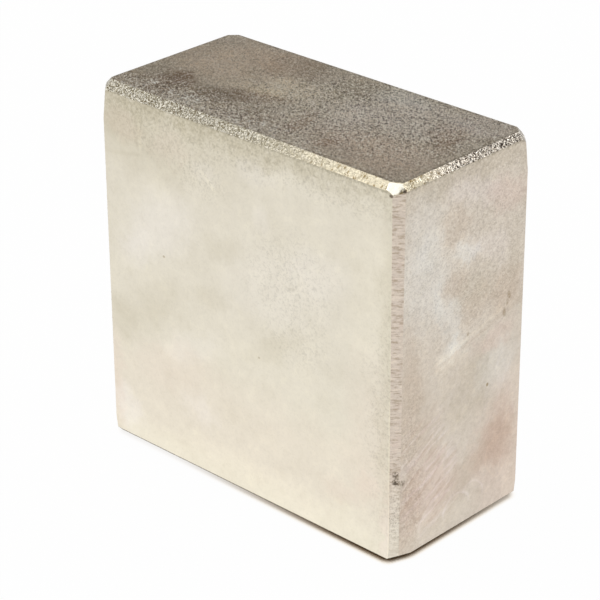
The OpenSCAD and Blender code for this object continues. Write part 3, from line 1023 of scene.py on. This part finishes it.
def assign_finishes(block, finishes, polished):
    """Gives every polygon the finish of its side of the block."""
    slots = {}
    for side, material in finishes.items():
        block.data.materials.append(material)
        slots[side] = len(block.data.materials) - 1
    for polygon in block.data.polygons:
        normal = polygon.normal
        axis = max(AXES, key=lambda a: abs(normal[a]))
        if is_flat_face(normal):
            side = (axis, 1 if normal[axis] > 0 else -1)
        elif polished(polygon):
            side = "corner"
        elif normal.z < -UPRIGHT_TILT:
            side = "foot"
        else:
            side = "upright" if normal.z < UPRIGHT_TILT else "edge"
        polygon.material_index = slots[side]


def group_vertices(block, name, chosen):
    """Names the vertices whose polygons all pass a test."""
    polygons_at = {}
    for polygon in block.data.polygons:
        for i in polygon.vertices:
            polygons_at.setdefault(i, []).append(polygon)
    named = block.vertex_groups.new(name=name)
    named.add([i for i, around in polygons_at.items() if all(chosen(p) for p in around)], 1, "ADD")
    return named


def press_in(block, group, texture_name, size, depth, detail):
    """Presses a group of vertices inwards by a cloud texture."""
    texture = bpy.data.textures.new(texture_name, "CLOUDS")
    texture.noise_scale = size
    texture.noise_depth = detail
    texture.noise_basis = "ORIGINAL_PERLIN"
    texture.intensity, texture.contrast = 1.0, 1.6
    displace = block.modifiers.new(texture_name, "DISPLACE")
    displace.texture = texture
    displace.texture_coords = "LOCAL"
    displace.vertex_group = group.name
    displace.mid_level = 1.0
    displace.strength = depth
    bpy.ops.object.modifier_apply(modifier=displace.name)


def bites(sizes):
    """Place, radius and depth of each bite: the chip's row, then the notches."""
    corner = corner_point(sizes, FRONT_RIGHT_FOOT)
    rise = sizes.chip_height / sizes.extent[2]
    leg = sizes.upright_foot_leg + (sizes.upright_top_leg - sizes.upright_foot_leg) * rise
    spacing = (sizes.chip_length - 2 * sizes.chip_radius) / (len(CHIP_BITES) - 1)
    for i, depth_share in enumerate(CHIP_BITES):
        height = sizes.chip_height + (i - (len(CHIP_BITES) - 1) / 2) * spacing
        yield (corner + Vector((-leg / 2, leg / 2, height)), sizes.chip_radius,
               sizes.chip_depth * depth_share)
    corner = corner_point(sizes, FRONT_LEFT_TOP)
    fall = sizes.front_top_right_leg - sizes.front_top_left_leg
    for along, across in NOTCHES:
        leg = sizes.front_top_left_leg + fall * along * MM / sizes.extent[0]
        yield (corner + Vector((along * MM, leg * across, leg * (across - 1))),
               sizes.notch_radius, sizes.notch_depth)


def bite(block, place, radius, depth):
    """Presses one small pit into the block, on a finer mesh of its own."""
    bpy.ops.object.mode_set(mode="EDIT")
    bpy.ops.mesh.select_mode(type="FACE")
    bpy.ops.mesh.select_all(action="DESELECT")
    bpy.ops.object.mode_set(mode="OBJECT")
    for polygon in block.data.polygons:
        polygon.select = (polygon.center - place).length < 1.3 * radius
    bpy.ops.object.mode_set(mode="EDIT")
    bpy.ops.mesh.subdivide(number_cuts=1)
    bpy.ops.object.mode_set(mode="OBJECT")
    pit = block.vertex_groups.new(name="pit")
    for vertex in block.data.vertices:
        away = (vertex.co - place).length / radius
        if away < 1:
            pit.add([vertex.index], 1 - away * away, "ADD")
    press = block.modifiers.new("pit", "DISPLACE")
    press.vertex_group = pit.name
    press.mid_level = 0.0
    press.strength = -depth
    bpy.ops.object.modifier_apply(modifier=press.name)


def model_block(sizes, look):
    """Models the block from a cube: ground edges, cut corners, soft borders and a fine mesh."""
    deselect_all()
    bpy.ops.mesh.primitive_cube_add(
        size=1, location=(0, 0, sizes.extent[2] / 2), scale=tuple(sizes.extent))
    block = bpy.context.object
    block.name = "plated_block"
    bpy.ops.object.transform_apply(location=True, rotation=True, scale=True)
    bpy.ops.object.mode_set(mode="EDIT")
    for axis in AXES:
        for first in (-1, 1):
            for second in (-1, 1):
                cut_away(*edge_plane(sizes, axis, (first, second)))
    for x in (-1, 1):
        for y in (-1, 1):
            for z in (-1, 1):
                for point, normal in corner_planes(sizes, (x, y, z)):
                    cut_away(point, normal)
    bpy.ops.mesh.select_all(action="SELECT")
    bpy.ops.mesh.remove_doubles(threshold=0.001 * MM)
    bpy.ops.mesh.bevel(offset=sizes.border_round, segments=1, affect="EDGES")
    rule_across(sizes)
    refine_ground_edges(block, sizes)
    bpy.ops.mesh.select_all(action="SELECT")
    bpy.ops.mesh.normals_make_consistent(inside=False)
    bpy.ops.object.mode_set(mode="OBJECT")

    polished = polished_test(sizes)
    assign_finishes(block, make_finishes(look), polished)
    ground = group_vertices(block, "ground_edges",
                            lambda p: not is_flat_face(p.normal) and not polished(p))
    faces = group_vertices(block, "flat_faces", lambda p: is_flat_face(p.normal))
    press_in(block, ground, "edge_grain", sizes.grain_size, sizes.grain_depth, 2)
    press_in(block, faces, "face_waves", sizes.wave_size, sizes.wave_depth, 1)
    for place, radius, depth in bites(sizes):
        bite(block, place, radius, depth)
    block.vertex_groups.clear()
    bpy.ops.object.shade_smooth_by_angle(angle=math.radians(20))
    return block


class MAGNET_OT_build_block(bpy.types.Operator):
    """Model the block with its ground edges, worn corners and chip"""

    bl_idname = "magnet.build_block"
    bl_label = "Build Block"
    bl_options = {"REGISTER", "UNDO"}

    def execute(self, context):
        block = model_block(context.scene.magnet_sizes, context.scene.magnet_plating)
        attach(block, BLOCK_BODY)
        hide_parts(BLOCK_NODE)
        return {"FINISHED"}


# Stage

# Reach in mm of the contact shadow that the metal mirrors, and of the one that the camera sees
CONTACT_REACHES = (3, 0.9)
# Where the painted contact shadow, the dark line under the block, is darkest, in mm, and how its two
# ways count
LINE_START = (25, -11.2, 0)
LINE_SPREAD = (1, 0.93, 1)
# How far from there, in mm, the line starts and stops to fade, and what is left of it
LINE_FADE = (5, 42)
LINE_LEFT = 0.1
MIRRORED_LINE_LEFT = 0.3
# How much of the floor's light is white to the camera and in the metal. The rest takes shadow
SEEN_SHARE = 0.985
MIRRORED_SHARE = 0.95
FLOOR_RIM_STEPS = 8
SOFTBOX_DISTANCE = 0.6
# Softboxes: name, azimuth and elevation in degrees, size in metres, radiance, tint
SOFTBOXES = (
    ("key_softbox", -56, 40, 0.5, 0.85, (1.0, 0.98, 0.93)),
    ("front_softbox", -8, 60, 0.3, 0.78, (1.0, 0.99, 0.97)),
    ("back_softbox", 146, 40, 0.25, 1.65, (1.0, 1.0, 1.0)),
    ("high_softbox", 223, 64, 0.3, 1.2, (1.0, 0.99, 0.97)),
)
SENSOR_WIDTH = 36


def floor_finish(stage):
    """Pale floor that shows white to the camera and in the metal, and keeps the block's shadow, with a
    painted contact shadow and a warm painted penumbra laid on by ambient occlusion near the block.
    """
    material = bpy.data.materials.new("pale_floor")
    material.use_nodes = True
    material.node_tree.nodes.clear()
    w = Wiring(material.node_tree)
    near, close = (w.node("ShaderNodeAmbientOcclusion", {"Distance": reach * MM},
                          samples=8).outputs["AO"] for reach in CONTACT_REACHES)
    place = w.vector("SCALE", w.node("ShaderNodeTexCoord").outputs["Object"], 1000)
    away = w.vector("DISTANCE", w.vector("MULTIPLY", place, LINE_SPREAD), LINE_START)
    dying, mirrored_dying = (w.ramp(away, *LINE_FADE, 1.0, left)
                             for left in (LINE_LEFT, MIRRORED_LINE_LEFT))
    # The matt floor takes the painted contact shadow colour where the block is close.
    matt = w.node("ShaderNodeBsdfDiffuse", {
        "Color": w.mix(w.ramp(close, 0.3, 0.95), (*stage.contact_shadow_colour, 1),
                       (*stage.floor_colour, 1))})
    paths = w.node("ShaderNodeLightPath").outputs
    # The white to the camera and in the metal fades out where the block is close: painted contact
    # shadow, faded with distance from the front right foot.
    seen = w.math("MULTIPLY", w.math("MULTIPLY", paths["Is Camera Ray"], SEEN_SHARE),
                  w.mix(dying, WHITE, w.ramp(close, 0.2, 0.68)))
    mirrored = w.math("MULTIPLY", w.math("MAXIMUM", paths["Is Glossy Ray"],
                                         paths["Is Transmission Ray"]),
                      w.mix(mirrored_dying, WHITE, w.ramp(near, 0.35, 0.6)))
    # The glow turns to the warm painted penumbra right beside the block.
    glow = w.node("ShaderNodeEmission", {
        "Color": w.mix(w.math("MULTIPLY", dying, w.ramp(close, 0.97, 0.3)), WHITE,
                       (*stage.glow_near, 1)),
        "Strength": 1.0})
    blend = w.node("ShaderNodeMixShader", {
        0: w.math("ADD", seen, w.math("MULTIPLY", mirrored, MIRRORED_SHARE)),
        1: matt.outputs[0], 2: glow.outputs[0]})
    w.node("ShaderNodeOutputMaterial", {"Surface": blend.outputs[0]})
    return material


def build_floor(stage):
    """Round floor whose rim curves up, so that the horizon stays pale from low down."""
    deselect_all()
    bpy.ops.mesh.primitive_circle_add(vertices=96, radius=stage.floor_radius, fill_type="NGON",
                                      location=(0, 0, 0))
    floor = bpy.context.object
    floor.name = "pale_floor"
    bpy.ops.object.mode_set(mode="EDIT")
    bpy.ops.mesh.select_mode(type="EDGE")
    bpy.ops.mesh.select_all(action="SELECT")
    bpy.ops.mesh.region_to_loop()
    radius = stage.floor_radius
    for i in range(1, FLOOR_RIM_STEPS + 1):
        angle = math.radians(90) * i / FLOOR_RIM_STEPS
        last = math.radians(90) * (i - 1) / FLOOR_RIM_STEPS
        grown = stage.floor_radius + stage.rim_radius * math.sin(angle)
        rise = stage.rim_radius * (math.cos(last) - math.cos(angle))
        bpy.ops.mesh.extrude_region_move(TRANSFORM_OT_translate={"value": (0, 0, rise)})
        bpy.ops.transform.resize(value=(grown / radius, grown / radius, 1))
        radius = grown
    bpy.ops.object.mode_set(mode="OBJECT")
    bpy.ops.object.shade_smooth()
    floor.data.materials.append(floor_finish(stage))
    return floor


def add_softbox(name, azimuth, elevation, size, radiance, tint):
    """Square area lamp that looks at the block."""
    middle = Vector((0, 0, BLOCK_SIZE.z / 2))
    way = towards(math.radians(azimuth), math.radians(elevation))
    bpy.ops.object.light_add(type="AREA", location=middle + way * SOFTBOX_DISTANCE,
                             rotation=way.to_track_quat("Z", "Y").to_euler())
    lamp = bpy.context.object
    lamp.name = name
    lamp.data.shape = "SQUARE"
    lamp.data.size = size
    lamp.data.energy = 4 * size * size * radiance
    lamp.data.color = tint
    return lamp


def set_camera(stage):
    """Camera at the photograph's angle."""
    azimuth, elevation, roll = stage.camera_azimuth, stage.camera_elevation, stage.camera_roll
    back = towards(azimuth, elevation)
    right = Vector((0, 0, 1)).cross(back).normalized()
    up = back.cross(right)
    turned_right = right * math.cos(roll) + up * math.sin(roll)
    turned_up = up * math.cos(roll) - right * math.sin(roll)
    eye = (Vector((0, 0, BLOCK_SIZE.z / 2)) + turned_right * stage.camera_offset[0]
           + turned_up * stage.camera_offset[1] + back * stage.camera_distance)
    bpy.ops.object.camera_add()
    camera = bpy.context.object
    camera.name = "photo_camera"
    axes = Matrix((turned_right, turned_up, back)).transposed()
    camera.matrix_world = Matrix.Translation(eye) @ axes.to_4x4()
    camera.data.sensor_fit = "HORIZONTAL"
    camera.data.sensor_width = SENSOR_WIDTH
    camera.data.lens = SENSOR_WIDTH * stage.camera_reach
    camera.data.clip_start = 0.01
    bpy.context.scene.camera = camera


class MAGNET_OT_build_stage(bpy.types.Operator):
    """Lay the pale floor, hang the softboxes and set the camera"""

    bl_idname = "magnet.build_stage"
    bl_label = "Build Stage"
    bl_options = {"REGISTER", "UNDO"}

    def execute(self, context):
        stage = context.scene.magnet_stage
        build_floor(stage)
        for softbox in SOFTBOXES:
            add_softbox(*softbox)
        world = bpy.data.worlds.new("dim_room")
        world.use_nodes = True
        world.node_tree.nodes["Background"].inputs["Color"].default_value = (*stage.room_colour, 1)
        context.scene.world = world
        context.scene.view_settings.view_transform = "Standard"
        set_camera(stage)
        return {"FINISHED"}


class MAGNET_PT_panel(bpy.types.Panel):
    """Lists the steps that make the magnet and its stage"""

    bl_idname = "MAGNET_PT_panel"
    bl_label = "Block Magnet"
    bl_space_type = "VIEW_3D"
    bl_region_type = "UI"
    bl_category = "Magnet"

    def draw(self, context):
        for operator in OPERATORS:
            self.layout.operator(operator.bl_idname)
        for settings in ("magnet_sizes", "magnet_plating", "magnet_stage"):
            box = self.layout.box()
            group = getattr(context.scene, settings)
            for name in group.bl_rna.properties.keys():
                if name not in {"rna_type", "name"}:
                    box.prop(group, name)


OPERATORS = (MAGNET_OT_build_block, MAGNET_OT_build_stage)
CLASSES = (BlockSizes, PlatingLook, StageLook, *OPERATORS, MAGNET_PT_panel)


def register():
    for cls in CLASSES:
        bpy.utils.register_class(cls)
    bpy.types.Scene.magnet_sizes = PointerProperty(type=BlockSizes)
    bpy.types.Scene.magnet_plating = PointerProperty(type=PlatingLook)
    bpy.types.Scene.magnet_stage = PointerProperty(type=StageLook)


def unregister():
    del bpy.types.Scene.magnet_stage
    del bpy.types.Scene.magnet_plating
    del bpy.types.Scene.magnet_sizes
    for cls in reversed(CLASSES):
        bpy.utils.unregister_class(cls)


def main():
    register()
    bpy.ops.magnet.build_block()
    bpy.ops.magnet.build_stage()


if __name__ == "__main__":
    main()
